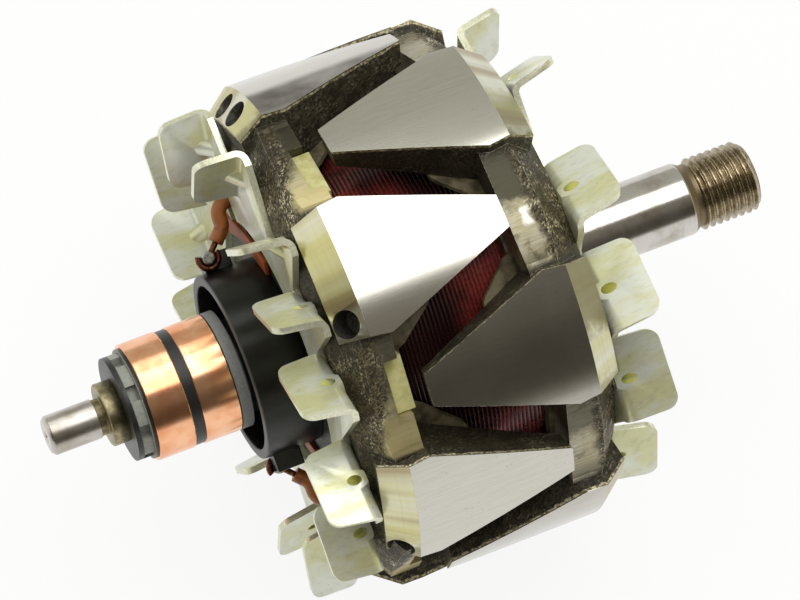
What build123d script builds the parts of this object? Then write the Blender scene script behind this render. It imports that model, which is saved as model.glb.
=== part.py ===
from build123d import *
import os
from math import atan2, cos, degrees, radians, sin, tan

# Claw-pole alternator rotor. Lengths are in millimetres, angles in degrees.
# The shaft lies along X, with the drive end at +X and the slip rings at -X.
# The origin is on the shaft axis, midway between the end faces of the two poles.
# Angles about the shaft are measured from +Y towards +Z.

# Pole pack
claw_count = 6
pole_radius = 52.0
pack_half_length = 26.1
disc_thickness = 10.1
chamfer_length = 6.2
chamfer_drop = 4.8
claw_tip_reach = 12.5
claw_tip_width = 6.6
claw_root_width = 28.5
claw_face_width = 25.6
claw_corner_inset = 10.7
claw_tip_thickness = 4.5
claw_root_thickness = 12.0
claw_side_draft_angle = 9.0
valley_drop = 4.0
valley_land = 6.0
valley_slope_drop = 7.0
valley_fillet_radius = 4.0
rear_lip_length = 0.3
front_lip_length = 2.6
rim_lip_clearance = 1.0
rear_claw_angle = 45.0
front_claw_angle = 15.0

# Balance drilling in the chamfers of the rear pole
drill_radius = 2.8
drill_depth = 6.5
drill_angles = (40.6, 49.4, 115.9, 177.5)

# Shaft
core_shaft_radius = 8.5
drive_journal_radius = 7.5
drive_journal_end = 60.0
undercut_radius = 6.6
undercut_length = 2.6
undercut_taper_length = 1.3
thread_radius = 7.4
drive_end = 74.5
drive_end_chamfer = 1.1
rear_journal_radius = 4.0
rear_journal_length = 10.3
rear_end = 76.3
rear_end_chamfer = 0.7
rear_relief_radius = 3.7
rear_relief_length = 1.5
rear_shoulder_radius = 6.4
slip_seat_radius = 6.0
centre_hole_radius = 1.4
centre_hole_depth = 2.4

# Slip rings and their moulded carrier
ring_radius = 12.0
ring_thickness = 1.6
outboard_ring_length = 7.6
inboard_ring_length = 7.7
ring_gap_length = 2.1
divider_drop = 0.25
carrier_end = 61.2
collar_radius = 10.6
collar_length = 3.2
collar_flange_length = 1.1
collar_notch_count = 8
collar_notch_angle = 15.0
collar_notch_width = 3.2
collar_notch_depth = 1.7
lip_length = 0.7
lip_drop = 0.7
inboard_band_length = 2.3
hub_radius = 9.5

# Cup-shaped shield round the inboard end of the carrier
shield_radius = 19.0
shield_wall = 2.0
shield_base_thickness = 2.0
shield_height = 11.6

# Terminals on the shield, with the ends of the field winding
terminal_angle = 28.0
post_width = 4.4
post_height = 3.4
post_length = 5.6
post_stand_off = 7.2
hook_radius = 2.0
hook_wire_radius = 0.65
hook_arc_angle = 230.0
hook_stand_off = 8.7
lead_stand_off = 3.9
lead_rise = 4.85
lead_wire_radius = 0.6
solder_length = 2.2
solder_rounding = 0.5
sleeve_radius = 1.5
sleeve_start_gap = 1.4
sleeve_bend_radius = 2.6
lead_run = 4.5
lead_hole_clearance = 0.15

# Bobbin and field winding
bobbin_wall = 2.0
flange_thickness = 3.0
flange_clearance = 0.6
block_drop = 2.2
block_width = 11.0
block_length = 3.9
block_inset = 1.5
block_root = 1.0
block_offset_angle = 1.5
block_clearance = 0.15
petal_thickness = 0.9
petal_clearance = 0.3
petal_shoulder_length = 4.5
petal_length = 11.5
petal_root_margin = 2.0
petal_shoulder_margin = 1.6
petal_end_margin = 1.0
petal_corner_radius = 3.0
coil_inset = 0.6
coil_depth = 9.8
coil_rounding = 2.0

# Sheet-steel fans: blade places are those of the free edges
fan_sheet = 1.3
fan_bend_radius = 1.2
fan_bore_radius = 27.0
blade_height = 10.3
blade_corner_radius = 2.6
blade_foot = 1.5
gusset_radius = 1.0
gusset_wall = 1.0
gusset_offset = 1.7
rear_blade_inner_radius = 37.5
rear_blade_length = 14.9
rear_blade_lean_angle = 39.5
rear_blade_tilt_angle = 6.0
rear_blade_flare_angle = 7.0
rear_plate_inset = 1.5
rear_blade_angles = (
    26.2, 54.0, 81.0, 100.5, 120.6, 149.5, 171.8,
    207.3, 233.0, 260.7, 283.0, 305.0, 327.9, 359.0,
)
front_blade_inner_radius = 41.2
front_blade_length = 16.2
front_blade_lean_angle = 69.0
front_blade_tilt_angle = 14.0
front_blade_flare_angle = 2.0
front_plate_inset = 3.7
front_blade_angles = (17.0, 54.0, 91.9, 119.6, 146.6, 192.0, 229.0, 266.0, 303.0, 340.0)
notch_margin = 0.6

# Overrun of every cutting tool past the faces that it cuts
overrun = 1.0

full_turn_angle = 360.0
half_turn_angle = 180.0
quarter_turn_angle = 90.0


def turned(*angles):
    """Places turned about the shaft axis."""
    return [Location((0, 0, 0), (angle, 0, 0)) for angle in angles]


# Places and sizes that several pieces share
disc_inner_x = -(pack_half_length - disc_thickness)
rear_rim_x = disc_inner_x + rear_lip_length
fan_outer_x = -(pack_half_length + fan_sheet)
chamfer_start_x = -(pack_half_length - chamfer_length)
claw_corner_x = -pack_half_length + claw_corner_inset
claw_pitch_angle = full_turn_angle / claw_count
claw_root_radius = pole_radius - claw_root_thickness
claw_tip_inner_radius = pole_radius - claw_tip_thickness
valley_distance = pole_radius - valley_drop
flange_radius = claw_root_radius - flange_clearance
block_top_radius = valley_distance - block_drop
coil_radius = flange_radius - coil_inset
coil_bore_radius = coil_radius - coil_depth
core_radius = coil_bore_radius - bobbin_wall
terminal_places = {
    "upper": Location((0, 0, 0), (terminal_angle, 0, 0)),
    "lower": Location((0, 0, 0), (terminal_angle + half_turn_angle, 0, 0)),
}
hook_x = -(pack_half_length + hook_stand_off)
lead_x = -(pack_half_length + lead_stand_off)
hook_offset = post_width / 2 + hook_wire_radius
hook_distance = shield_radius + hook_radius + hook_wire_radius
lead_hole_distance = hook_distance + lead_rise + lead_run
lead_hole_radius = sleeve_radius + lead_hole_clearance

valley_angle = rear_claw_angle + claw_pitch_angle / 2
block_sides = [block_offset_angle * (-1) ** step for step in range(claw_count)]
block_angles = [valley_angle + side + claw_pitch_angle * step for step, side in enumerate(block_sides)]
block_foot_radius = flange_radius - block_root
block_middle_x = disc_inner_x + block_inset - block_length / 2
block_place = Location((block_middle_x, (block_foot_radius + block_top_radius) / 2, 0))

os.makedirs("parts", exist_ok=True)


# One claw, pointing along +Y: its plan is drawn flat, drafted inwards and then turned to size
with BuildPart() as claw:
    with BuildSketch(Plane.XZ.offset(-pole_radius)):
        with BuildLine():
            Polyline(
                (-pack_half_length, -claw_face_width / 2),
                (claw_corner_x, -claw_root_width / 2),
                (claw_tip_reach, -claw_tip_width / 2),
                (claw_tip_reach, claw_tip_width / 2),
                (claw_corner_x, claw_root_width / 2),
                (-pack_half_length, claw_face_width / 2),
                close=True,
            )
        make_face()
    extrude(amount=pole_radius - core_radius, taper=claw_side_draft_angle)
    with BuildSketch(Plane.XY):
        with BuildLine():
            Polyline(
                (-pack_half_length, pole_radius - chamfer_drop),
                (chamfer_start_x, pole_radius),
                (claw_tip_reach, pole_radius),
                (claw_tip_reach, claw_tip_inner_radius),
                (disc_inner_x, claw_root_radius),
                (-pack_half_length, claw_root_radius),
                close=True,
            )
        make_face()
    revolve(axis=Axis.X, mode=Mode.INTERSECT)


def forged_pole(lip_length):
    """One pole: a disc with filleted valleys and a rim lip, a half core and the ring of claws."""
    rim_x = disc_inner_x + lip_length
    with BuildPart() as pole:
        with BuildSketch(Plane.YZ.offset(-pack_half_length)) as disc_outline:
            RegularPolygon(valley_distance, claw_count, major_radius=False)
            with PolarLocations(0, claw_count):
                with Locations((pole_radius, 0)):
                    Rectangle(2 * pole_radius, claw_face_width)
            valley_corners = disc_outline.vertices().sort_by_distance((0, 0, 0))[: 2 * claw_count]
            fillet(valley_corners, valley_fillet_radius)
        extrude(amount=disc_thickness + lip_length)
        with BuildSketch(Plane.XY):
            with BuildLine():
                Polyline(
                    (-pack_half_length, 0),
                    (-pack_half_length, valley_distance - valley_slope_drop),
                    (rim_x - valley_land, pole_radius - chamfer_drop / 2),
                    (rim_x, pole_radius - chamfer_drop / 2),
                    (rim_x, claw_root_radius + rim_lip_clearance),
                    (disc_inner_x, claw_root_radius + rim_lip_clearance),
                    (disc_inner_x, 0),
                    close=True,
                )
            make_face()
        revolve(axis=Axis.X, mode=Mode.INTERSECT)
        with BuildSketch(Plane.YZ.offset(disc_inner_x)):
            Circle(core_radius)
        extrude(amount=-disc_inner_x)
        with Locations(*turned(*[step * claw_pitch_angle for step in range(claw_count)])):
            add(claw.part)
        with BuildSketch(Plane.YZ.offset(-pack_half_length - overrun)):
            Circle(core_shaft_radius)
        extrude(amount=pack_half_length + 2 * overrun, mode=Mode.SUBTRACT)
    return pole.part


# Rear pole, with its balance drilling, two holes for the winding leads and notches for the bobbin
chamfer_tilt_angle = degrees(atan2(chamfer_drop, chamfer_length))
drill_plane = Plane(
    origin=(chamfer_start_x - chamfer_length / 2, pole_radius - chamfer_drop / 2, 0),
    x_dir=(0, 0, 1),
    z_dir=(-sin(radians(chamfer_tilt_angle)), cos(radians(chamfer_tilt_angle)), 0),
)
lead_hole_plane = Plane(
    origin=(-pack_half_length, lead_hole_distance, hook_offset),
    x_dir=(0, 1, 0),
    z_dir=(-1, 0, 0),
)
notch_block_length = rear_lip_length + block_length - block_inset + block_clearance + overrun
notch_block_foot = block_foot_radius - block_clearance
notch_block_height = pole_radius - notch_block_foot
notch_block_place = Location(
    (rear_rim_x + overrun - notch_block_length / 2, notch_block_foot + notch_block_height / 2, 0)
)
rear_blank = forged_pole(rear_lip_length)
with BuildPart() as rear_pole:
    add(rear_blank, rotation=(rear_claw_angle, 0, 0))
    with Locations(*[turn * drill_plane.location for turn in turned(*drill_angles)]):
        Hole(drill_radius, drill_depth)
    with Locations(*[place * lead_hole_plane.location for place in terminal_places.values()]):
        Hole(lead_hole_radius, disc_thickness)
    with Locations(*[turn * notch_block_place for turn in turned(*block_angles)]):
        Box(notch_block_length, notch_block_height, block_width + 2 * block_clearance, mode=Mode.SUBTRACT)
rear_pole.part.label = "rear_pole"
export_step(rear_pole.part, "parts/rear_pole.step")

# Front pole: the same forging facing the other way, its claws between those of the rear pole
front_blank = forged_pole(front_lip_length)
with BuildPart() as front_pole:
    add(mirror(front_blank, about=Plane.YZ, mode=Mode.PRIVATE), rotation=(front_claw_angle, 0, 0))
front_pole.part.label = "front_pole"
export_step(front_pole.part, "parts/front_pole.step")

# Shaft, turned in one piece, with a centre hole in each end
with BuildPart() as shaft:
    with BuildSketch(Plane.XY):
        with BuildLine():
            Polyline(
                (-rear_end + centre_hole_depth, 0),
                (-rear_end, centre_hole_radius),
                (-rear_end, rear_journal_radius - rear_end_chamfer),
                (-rear_end + rear_end_chamfer, rear_journal_radius),
                (-rear_end + rear_journal_length, rear_journal_radius),
                (-rear_end + rear_journal_length, rear_relief_radius),
                (-rear_end + rear_journal_length + rear_relief_length, rear_relief_radius),
                (-rear_end + rear_journal_length + rear_relief_length, rear_shoulder_radius),
                (-carrier_end, rear_shoulder_radius),
                (-carrier_end, slip_seat_radius),
                (-pack_half_length, slip_seat_radius),
                (-pack_half_length, core_shaft_radius),
                (pack_half_length, core_shaft_radius),
                (pack_half_length, drive_journal_radius),
                (drive_journal_end, drive_journal_radius),
                (drive_journal_end + undercut_taper_length, undercut_radius),
                (drive_journal_end + undercut_length, undercut_radius),
                (drive_journal_end + undercut_length, thread_radius),
                (drive_end - drive_end_chamfer, thread_radius),
                (drive_end, thread_radius - drive_end_chamfer),
                (drive_end, centre_hole_radius),
                (drive_end - centre_hole_depth, 0),
                close=True,
            )
        make_face()
    revolve(axis=Axis.X)
shaft.part.label = "shaft"
export_step(shaft.part, "parts/shaft.step")

# Moulded carrier of the slip rings, with a ring of pads behind the flange at its outer end
outboard_ring_start = -carrier_end + collar_length + lip_length
outboard_ring_end = outboard_ring_start + outboard_ring_length
inboard_ring_start = outboard_ring_end + ring_gap_length
inboard_ring_end = inboard_ring_start + inboard_ring_length
band_end = inboard_ring_end + inboard_band_length
ring_seat_radius = ring_radius - ring_thickness
with BuildPart() as slip_ring_carrier:
    with BuildSketch(Plane.XY):
        with BuildLine():
            Polyline(
                (-carrier_end, slip_seat_radius),
                (-carrier_end, collar_radius),
                (-carrier_end + collar_length, collar_radius),
                (-carrier_end + collar_length, ring_radius - lip_drop),
                (outboard_ring_start, ring_radius - lip_drop),
                (outboard_ring_start, ring_seat_radius),
                (outboard_ring_end, ring_seat_radius),
                (outboard_ring_end, ring_radius - divider_drop),
                (inboard_ring_start, ring_radius - divider_drop),
                (inboard_ring_start, ring_seat_radius),
                (inboard_ring_end, ring_seat_radius),
                (inboard_ring_end, ring_radius),
                (band_end, ring_radius),
                (band_end, hub_radius),
                (-pack_half_length, hub_radius),
                (-pack_half_length, slip_seat_radius),
                close=True,
            )
        make_face()
    revolve(axis=Axis.X)
    with BuildSketch(Plane.YZ.offset(-carrier_end + collar_flange_length)):
        with PolarLocations(collar_radius, collar_notch_count, start_angle=collar_notch_angle):
            Rectangle(2 * collar_notch_depth, collar_notch_width)
    extrude(amount=collar_length - collar_flange_length, mode=Mode.SUBTRACT)
slip_ring_carrier.part.label = "slip_ring_carrier"
export_step(slip_ring_carrier.part, "parts/slip_ring_carrier.step")


def slip_ring(start, length):
    """A copper ring on its seat of the carrier."""
    with BuildPart() as ring:
        with BuildSketch(Plane.YZ.offset(start)):
            Circle(ring_radius)
            Circle(ring_seat_radius, mode=Mode.SUBTRACT)
        extrude(amount=length)
    return ring.part


with BuildPart() as outboard_slip_ring:
    add(slip_ring(outboard_ring_start, outboard_ring_length))
outboard_slip_ring.part.label = "outboard_slip_ring"
export_step(outboard_slip_ring.part, "parts/outboard_slip_ring.step")

with BuildPart() as inboard_slip_ring:
    add(slip_ring(inboard_ring_start, inboard_ring_length))
inboard_slip_ring.part.label = "inboard_slip_ring"
export_step(inboard_slip_ring.part, "parts/inboard_slip_ring.step")

# Shield: a cup open towards the slip rings, with two terminal posts on its wall
shield_inner_radius = shield_radius - shield_wall
post_x = -(pack_half_length + post_stand_off)
post_place = Location((post_x, shield_radius + (post_height - shield_wall) / 2, 0))
with BuildPart() as slip_ring_shield:
    with BuildSketch(Plane.XY):
        with BuildLine():
            Polyline(
                (-pack_half_length, hub_radius),
                (-pack_half_length, shield_radius),
                (-pack_half_length - shield_height, shield_radius),
                (-pack_half_length - shield_height, shield_inner_radius),
                (-pack_half_length - shield_base_thickness, shield_inner_radius),
                (-pack_half_length - shield_base_thickness, hub_radius),
                close=True,
            )
        make_face()
    revolve(axis=Axis.X)
    with Locations(*[place * post_place for place in terminal_places.values()]):
        Box(post_length, post_height + shield_wall, post_width)
    with BuildSketch(Plane.YZ.offset(-pack_half_length - shield_base_thickness)):
        Circle(shield_inner_radius)
        Circle(hub_radius, mode=Mode.SUBTRACT)
    extrude(amount=-shield_height, mode=Mode.SUBTRACT)
slip_ring_shield.part.label = "slip_ring_shield"
export_step(slip_ring_shield.part, "parts/slip_ring_shield.step")

# Hook of bare wire beside a post, open outwards, drawn at the zero angle
hook_centre = Vector(hook_x, hook_distance, hook_offset)
hook_start = Vector(-sin(radians(hook_arc_angle / 2)), -cos(radians(hook_arc_angle / 2)), 0)
with BuildPart() as hook:
    with BuildSketch(Plane(origin=hook_centre, x_dir=hook_start, z_dir=hook_start.cross(Vector(0, 0, 1)))):
        with Locations((hook_radius, 0)):
            Circle(hook_wire_radius)
    revolve(axis=Axis(hook_centre, (0, 0, 1)), revolution_arc=hook_arc_angle)

# Bare end of a lead, from the solder in the hook to the mouth of its sleeve
lead_corner = Vector(lead_x, hook_distance + lead_rise, hook_offset)
lead_way = (lead_corner - hook_centre).normalized()
sleeve_start = hook_centre + lead_way * (hook_radius + sleeve_start_gap)
with BuildPart() as lead_end:
    with BuildSketch(Plane(origin=hook_centre, x_dir=(0, 0, 1), z_dir=lead_way)):
        Circle(lead_wire_radius)
    extrude(amount=hook_radius + sleeve_start_gap)

# Solder that fills the hook round the bare end
with BuildPart() as solder:
    with BuildSketch(Plane.XY.offset(post_width / 2)):
        with Locations((hook_x, hook_distance)):
            Circle(hook_radius - hook_wire_radius)
    extrude(amount=solder_length)
    fillet(solder.edges().filter_by(GeomType.CIRCLE), solder_rounding)
    add(lead_end.part, mode=Mode.SUBTRACT)

# Insulating sleeve: down to the pole face, out along it, then through the pole to the winding
with BuildPart() as sleeve:
    with BuildLine() as sleeve_route:
        FilletPolyline(
            sleeve_start,
            lead_corner,
            (lead_x, lead_hole_distance, hook_offset),
            (disc_inner_x, lead_hole_distance, hook_offset),
            radius=sleeve_bend_radius,
        )
    with BuildSketch(Plane(origin=sleeve_route.line @ 0, z_dir=sleeve_route.line % 0)):
        Circle(sleeve_radius)
    sweep(path=sleeve_route.line)

# Both terminals carry the same small pieces
for side, place in terminal_places.items():
    pieces = {
        "terminal_hook": hook.part,
        "lead_end": lead_end.part,
        "solder_joint": solder.part,
        "lead_sleeve": sleeve.part,
    }
    for piece_name, blank in pieces.items():
        with BuildPart() as terminal_piece:
            with Locations(place):
                add(blank)
        terminal_piece.part.label = side + "_" + piece_name
        export_step(terminal_piece.part, "parts/" + side + "_" + piece_name + ".step")

# Petal of the rear bobbin flange: a tongue that lines the underside of the claw along +Y
claw_underside_slope = (claw_tip_inner_radius - claw_root_radius) / (claw_tip_reach - disc_inner_x)
claw_edge_slope = (claw_root_width - claw_tip_width) / (claw_tip_reach - claw_corner_x) / 2
petal_shoulder_x = disc_inner_x + petal_shoulder_length
petal_end_x = disc_inner_x + petal_length
petal_top_radius = claw_root_radius - petal_clearance
petal_rise = claw_underside_slope * petal_length
petal_root_half = claw_root_width / 2 + petal_root_margin
claw_shoulder_half = claw_tip_width / 2 + claw_edge_slope * (claw_tip_reach - petal_shoulder_x)
claw_end_half = claw_tip_width / 2 + claw_edge_slope * (claw_tip_reach - petal_end_x)
petal_shoulder_half = claw_shoulder_half + petal_shoulder_margin
petal_end_half = claw_end_half - petal_end_margin
with BuildPart() as petal:
    with BuildSketch(Plane.XZ.offset(-pole_radius)) as petal_plan:
        with BuildLine():
            Polyline(
                (disc_inner_x, -petal_root_half),
                (petal_shoulder_x, -petal_shoulder_half),
                (petal_end_x, -petal_end_half),
                (petal_end_x, petal_end_half),
                (petal_shoulder_x, petal_shoulder_half),
                (disc_inner_x, petal_root_half),
                close=True,
            )
        make_face()
        fillet(petal_plan.vertices().sort_by(Axis.X)[2:], petal_corner_radius)
    extrude(amount=pole_radius - core_radius)
    with BuildSketch(Plane.XY):
        with BuildLine():
            Polyline(
                (disc_inner_x, petal_top_radius),
                (petal_end_x, petal_top_radius + petal_rise),
                (petal_end_x, petal_top_radius + petal_rise - petal_thickness),
                (disc_inner_x, petal_top_radius - petal_thickness),
                close=True,
            )
        make_face()
    revolve(axis=Axis.X, mode=Mode.INTERSECT)

# One half of the bobbin: a flange with a petal under every claw
with BuildPart() as bobbin_half:
    with BuildSketch(Plane.YZ.offset(disc_inner_x)):
        Circle(flange_radius)
    extrude(amount=flange_thickness)
    with Locations(*turned(*[step * claw_pitch_angle for step in range(claw_count)])):
        add(petal.part)

# Bobbin: both halves on one tube round the cores, with a locating block in every valley of the rear pole
with BuildPart() as coil_bobbin:
    add(bobbin_half.part, rotation=(rear_claw_angle, 0, 0))
    with Locations(*[turn * block_place for turn in turned(*block_angles)]):
        Box(block_length, block_top_radius - block_foot_radius, block_width)
    add(mirror(bobbin_half.part, about=Plane.YZ, mode=Mode.PRIVATE), rotation=(front_claw_angle, 0, 0))
    with BuildSketch(Plane.YZ.offset(disc_inner_x)):
        Circle(coil_bore_radius)
    extrude(amount=-2 * disc_inner_x)
    with BuildSketch(Plane.YZ.offset(disc_inner_x - overrun)):
        Circle(core_radius)
    extrude(amount=2 * (overrun - disc_inner_x), mode=Mode.SUBTRACT)
coil_bobbin.part.label = "coil_bobbin"
export_step(coil_bobbin.part, "parts/coil_bobbin.step")

# Field winding, filling the bobbin between its flanges
flange_inner_x = -disc_inner_x - flange_thickness
with BuildPart() as field_coil:
    with BuildSketch(Plane.YZ.offset(-flange_inner_x)):
        Circle(coil_radius)
        Circle(coil_bore_radius, mode=Mode.SUBTRACT)
    extrude(amount=2 * flange_inner_x)
    outer_edges = field_coil.edges().filter_by(GeomType.CIRCLE).sort_by(SortBy.RADIUS)[-2:]
    fillet(outer_edges, coil_rounding)
field_coil.part.label = "field_coil"
export_step(field_coil.part, "parts/field_coil.step")


class BladeForm:
    """Places and directions of one bent blade, its free edge starting on +Y and standing towards -X."""

    def __init__(self, inner_radius, length, lean, tilt, flare):
        self.length = length
        self.tilt = radians(tilt)
        self.along = Vector(0, cos(radians(lean)), sin(radians(lean)))
        self.arm_side = Vector(0, -sin(radians(lean)), cos(radians(lean)))
        self.root = Vector(-pack_half_length, inner_radius, 0)
        self.bend = fan_bend_radius + fan_sheet
        self.rise = (blade_height - self.bend * (1 - sin(self.tilt))) / cos(self.tilt)
        self.bend_centre = self.bend * cos(self.tilt) + self.rise * sin(self.tilt)
        self.overhang = self.rise * tan(radians(flare))

    def place(self, along, across, up=0.0):
        """A point beside the blade's inner end: along it, across towards its arm, and up from the pole."""
        return self.root + self.along * along + self.arm_side * across + Vector(-up, 0, 0)


def bent_blade(form):
    """One blade bent up from its foot, with a gusset pressed into the bend."""
    bend, tilt, centre = form.bend, form.tilt, form.bend_centre
    top = blade_height + overrun
    lean_out = tan(tilt)
    arc_start = half_turn_angle + degrees(tilt)
    arc_sweep = quarter_turn_angle - degrees(tilt)
    section_start = form.place(form.length + form.overhang, 0)
    corner = blade_height * lean_out
    arm_way, blade_way = Vector(1, 0), Vector(-sin(tilt), cos(tilt))
    inward = (arm_way + blade_way).normalized()
    groove_way = (blade_way - arm_way).normalized()
    middle = form.length / 2
    groove_centre = Vector(corner, 0) + inward * gusset_offset
    groove_plane = Plane(
        origin=form.place(middle, groove_centre.X, groove_centre.Y),
        z_dir=form.arm_side * groove_way.X + Vector(-groove_way.Y, 0, 0),
    )
    with BuildPart() as gusset:
        with BuildSketch(groove_plane):
            Circle(gusset_radius + gusset_wall)
        extrude(amount=blade_height, both=True)
        with BuildSketch(Plane(origin=form.place(middle, 0), x_dir=form.arm_side, z_dir=-form.along)):
            with BuildLine():
                Polyline(
                    (corner, 0),
                    (corner + blade_height, 0),
                    (0, blade_height),
                    close=True,
                )
            make_face()
        extrude(amount=form.length, both=True, mode=Mode.INTERSECT)
    with BuildPart() as blade:
        with BuildSketch(Plane(origin=section_start, x_dir=form.arm_side, z_dir=-form.along)):
            with BuildLine():
                Line((centre + blade_foot, 0), (centre, 0))
                outer = CenterArc((centre, bend), bend, arc_start, arc_sweep)
                Line(outer @ 0, (-overrun * lean_out, top))
                Line((-overrun * lean_out, top), (fan_sheet / cos(tilt) - overrun * lean_out, top))
                inner = CenterArc((centre, bend), fan_bend_radius, arc_start, arc_sweep)
                Line((fan_sheet / cos(tilt) - overrun * lean_out, top), inner @ 0)
                Line(inner @ 1, (centre + blade_foot, fan_sheet))
                Line((centre + blade_foot, fan_sheet), (centre + blade_foot, 0))
            make_face()
        extrude(amount=form.length + 2 * form.overhang)
        with BuildSketch(Plane(origin=form.root, x_dir=form.along, z_dir=form.arm_side)) as plan:
            with BuildLine():
                Polyline(
                    (-form.overhang, -overrun),
                    (form.length + form.overhang, -overrun),
                    (form.length + form.overhang, bend),
                    (form.length, blade_height),
                    (0, blade_height),
                    (-form.overhang, bend),
                    close=True,
                )
            make_face()
            fillet(plan.vertices().group_by(Axis.Y)[-1], blade_corner_radius)
        extrude(amount=centre + blade_foot + overrun, both=True, mode=Mode.INTERSECT)
        add(gusset.part)
        with BuildSketch(groove_plane):
            Circle(gusset_radius)
        extrude(amount=blade_height, both=True, mode=Mode.SUBTRACT)
    return blade.part


def sheet_fan(form, angles, plate_radius):
    """A plate with a saw-toothed edge and a blade bent up from every tooth."""
    blade = bent_blade(form)
    web_radius = (fan_bore_radius + plate_radius) / 2
    next_angles = angles[1:] + (angles[0] + full_turn_angle,)
    near = form.place(-form.overhang, form.bend_centre)
    far = form.place(form.length + form.overhang, form.bend_centre)
    far_foot = form.place(form.length + form.overhang, form.bend_centre + blade_foot)
    with BuildPart() as fan:
        with BuildSketch(Plane.YZ.offset(-pack_half_length)):
            Circle(plate_radius)
            for angle, next_angle in zip(angles, next_angles):
                pitch = radians(next_angle - angle)
                with BuildLine(Rotation(0, 0, angle) * Plane.XY):
                    Polyline(
                        (web_radius, 0),
                        (near.Y, near.Z),
                        (far.Y, far.Z),
                        (far_foot.Y, far_foot.Z),
                        (plate_radius * cos(pitch), plate_radius * sin(pitch)),
                        (web_radius * cos(pitch), web_radius * sin(pitch)),
                        close=True,
                    )
                make_face()
        extrude(amount=-fan_sheet)
        with Locations(*turned(*angles)):
            add(blade)
        with BuildSketch(Plane.YZ.offset(-pack_half_length + overrun)):
            Circle(fan_bore_radius)
        extrude(amount=-fan_sheet - 2 * overrun, mode=Mode.SUBTRACT)
    return fan.part


# Rear fan, notched where the two leads pass into the pole
rear_form = BladeForm(
    rear_blade_inner_radius,
    rear_blade_length,
    rear_blade_lean_angle,
    rear_blade_tilt_angle,
    rear_blade_flare_angle,
)
notch_half_width = lead_hole_radius + notch_margin
notch_place = Location((fan_outer_x, lead_hole_distance - notch_half_width, hook_offset))
with BuildPart() as rear_fan:
    add(sheet_fan(rear_form, rear_blade_angles, rear_blade_inner_radius - rear_plate_inset))
    with Locations(*[place * notch_place for place in terminal_places.values()]):
        Box(2 * (fan_sheet + overrun), 4 * notch_half_width, 2 * notch_half_width, mode=Mode.SUBTRACT)
rear_fan.part.label = "rear_fan"
export_step(rear_fan.part, "parts/rear_fan.step")

# Front fan, bent towards the drive end
front_form = BladeForm(
    front_blade_inner_radius,
    front_blade_length,
    front_blade_lean_angle,
    front_blade_tilt_angle,
    front_blade_flare_angle,
)
with BuildPart() as front_fan:
    front_blank = sheet_fan(front_form, front_blade_angles, front_blade_inner_radius - front_plate_inset)
    add(mirror(front_blank, about=Plane.YZ, mode=Mode.PRIVATE))
front_fan.part.label = "front_fan"
export_step(front_fan.part, "parts/front_fan.step")
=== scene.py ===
import math
from collections import namedtuple
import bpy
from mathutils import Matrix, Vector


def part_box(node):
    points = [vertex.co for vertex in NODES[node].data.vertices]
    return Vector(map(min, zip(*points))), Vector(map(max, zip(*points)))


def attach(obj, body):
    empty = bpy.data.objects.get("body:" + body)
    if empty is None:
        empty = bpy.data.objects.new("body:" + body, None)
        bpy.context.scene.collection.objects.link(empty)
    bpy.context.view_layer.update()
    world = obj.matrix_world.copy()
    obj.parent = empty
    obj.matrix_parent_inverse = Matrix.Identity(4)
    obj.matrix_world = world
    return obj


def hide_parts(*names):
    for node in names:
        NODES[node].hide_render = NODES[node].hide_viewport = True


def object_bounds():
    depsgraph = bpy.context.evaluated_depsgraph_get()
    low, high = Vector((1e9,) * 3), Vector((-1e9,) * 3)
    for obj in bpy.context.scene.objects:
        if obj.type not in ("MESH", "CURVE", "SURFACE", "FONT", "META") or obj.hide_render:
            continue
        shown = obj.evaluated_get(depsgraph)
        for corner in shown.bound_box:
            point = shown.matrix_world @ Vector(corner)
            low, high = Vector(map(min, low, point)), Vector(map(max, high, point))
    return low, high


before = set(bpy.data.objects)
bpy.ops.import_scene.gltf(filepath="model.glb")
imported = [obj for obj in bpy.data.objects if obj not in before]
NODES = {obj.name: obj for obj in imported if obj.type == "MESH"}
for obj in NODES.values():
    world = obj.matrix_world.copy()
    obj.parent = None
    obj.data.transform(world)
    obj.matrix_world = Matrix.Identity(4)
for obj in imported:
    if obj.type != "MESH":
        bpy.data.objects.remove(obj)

from types import SimpleNamespace

import bmesh
import bpy
from mathutils import Matrix, Vector, noise

bl_info = {
    "name": "Alternator rotor",
    "version": (1, 0, 0),
    "blender": (4, 5, 0),
    "location": "View3D > Sidebar > Rotor",
    "description": "Dresses the packed alternator rotor and sets it on a pale stage",
    "category": "Object",
}

MM = 0.001
CAD_BOX = [list(corner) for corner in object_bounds()]

# Poles, in millimetres and degrees round the shaft

POLE_RADIUS = 52.0
PACK_HALF_LENGTH = 26.1
CHAMFER_LENGTH = 6.2
CHAMFER_DROP = 4.8
CHAMFER_START = PACK_HALF_LENGTH - CHAMFER_LENGTH
CHAMFER_SLOPE = CHAMFER_DROP / CHAMFER_LENGTH
CLAW_PITCH = 60.0
CLAW_HALF_ANGLE = 15.6
DRILL_RADIUS = 2.8

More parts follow.
